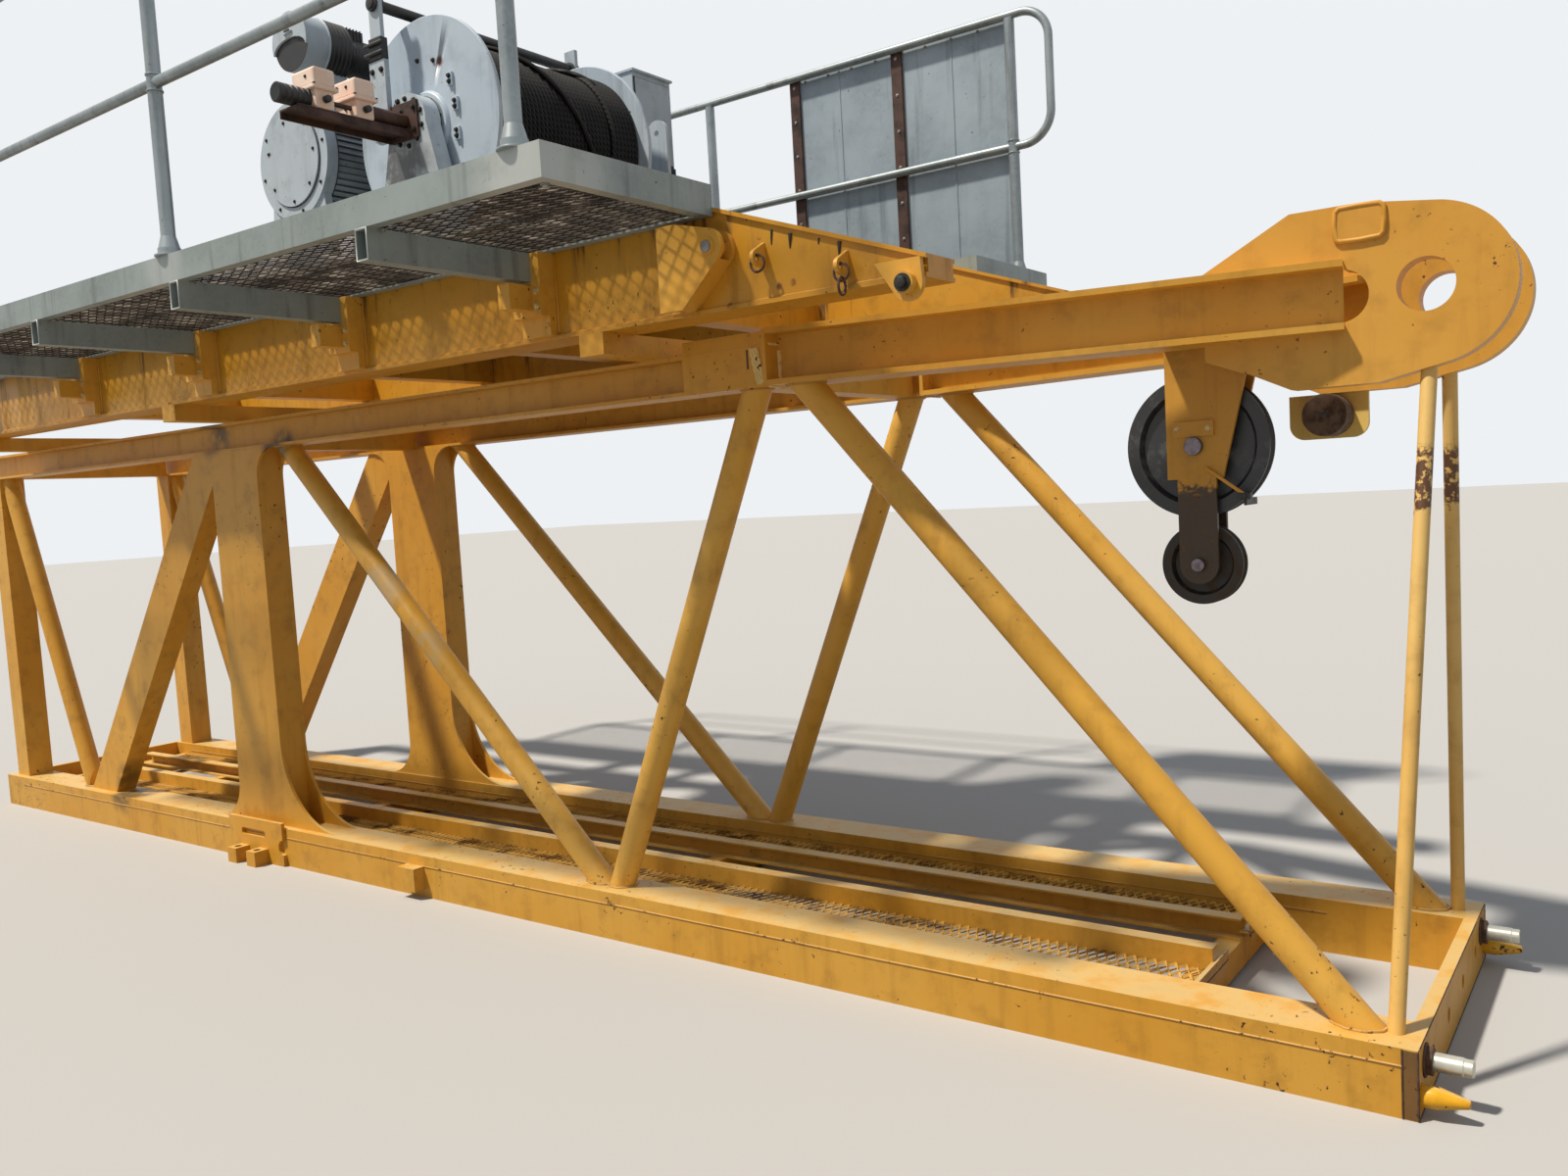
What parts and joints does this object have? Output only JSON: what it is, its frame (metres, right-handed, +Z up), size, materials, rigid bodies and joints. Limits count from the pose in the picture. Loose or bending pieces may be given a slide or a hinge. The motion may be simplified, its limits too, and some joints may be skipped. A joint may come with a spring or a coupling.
{
  "type": "tower crane upper section",
  "caption": "Box lattice frame with pendant eyes and rope sheaves, carrying a hoist deck with railed walkways, winch, motor and cabinet.",
  "frame": {"origin": "middle of the section's length and width, on the level of the bottom chords' undersides", "axes": "+X along the frame to the pendant eyes, +Y to the side with the wind boards, +Z up"},
  "size_m": [8.898, 3.4788, 4.166],
  "materials": {
    "crane_yellow": "sun-faded yellow enamel with rust runs",
    "deck_yellow": "yellow enamel",
    "galvanised_steel": "dull zinc",
    "sheet_steel": "weathered zinc sheet",
    "winch_grey": "pale blue-grey enamel",
    "greased_rope": "greased steel rope",
    "sheave_black": "cast nylon with grease",
    "box_pink": "faded moulded plastic"
  },
  "bodies": {
    "frame": {"near_bottom_chord": "crane_yellow", "far_bottom_chord": "crane_yellow", "near_top_chord": "crane_yellow", "far_top_chord": "crane_yellow", "front_braces": "crane_yellow", "mid_braces": "crane_yellow", "rear_braces": "crane_yellow", "box_braces": "crane_yellow", "plate_posts": "crane_yellow", "heel_posts": "crane_yellow", "heel_braces": "crane_yellow", "front_arms": "crane_yellow", "near_eye_plate": "crane_yellow", "far_eye_plate": "crane_yellow", "hanger_rods": "crane_yellow", "top_ties": "crane_yellow", "front_end_plate": "crane_yellow", "rear_end_plate": "crane_yellow", "guide_pins": "galvanised_steel", "side_brackets": "crane_yellow", "floor_bearers": "crane_yellow", "walkway_bars": "crane_yellow", "walkway_gratings": "crane_yellow", "sheave_hanger": "crane_yellow", "stored_pin": "crane_yellow", "packing_beams": "crane_yellow", "deck_girders": "deck_yellow", "deck_cross_beams": "deck_yellow", "girder_lugs": "deck_yellow", "outriggers": "galvanised_steel", "platform_frames": "galvanised_steel", "platform_gratings": "galvanised_steel", "rail_posts": "galvanised_steel", "handrails": "galvanised_steel", "wind_boards": "sheet_steel", "winch_base": "galvanised_steel", "winch_pedestals": "winch_grey", "rope_guard": "winch_grey", "hoist_motor": "winch_grey", "hoist_gearbox": "winch_grey", "junction_boxes": "box_pink", "control_cabinet": "winch_grey"},
    "rope_sheave": {"rope_sheave": "sheave_black"},
    "tail_sheave": {"tail_sheave": "sheave_black"},
    "hoist_drum": {"hoist_drum": "greased_rope"}
  },
  "joints": [
    {"name": "drum_spin", "type": "hinge", "parent": "frame", "child": "hoist_drum", "pos_m": [0.441, 0, 3.46], "axis": [0, 1, 0], "continuous": true},
    {"name": "sheave_spin", "type": "hinge", "parent": "frame", "child": "rope_sheave", "pos_m": [3.481, 0, 1.885], "axis": [0, 1, 0], "continuous": true},
    {"name": "tail_spin", "type": "hinge", "parent": "frame", "child": "tail_sheave", "pos_m": [3.486, 0, 1.485], "axis": [0, 1, 0], "continuous": true}
  ]
}
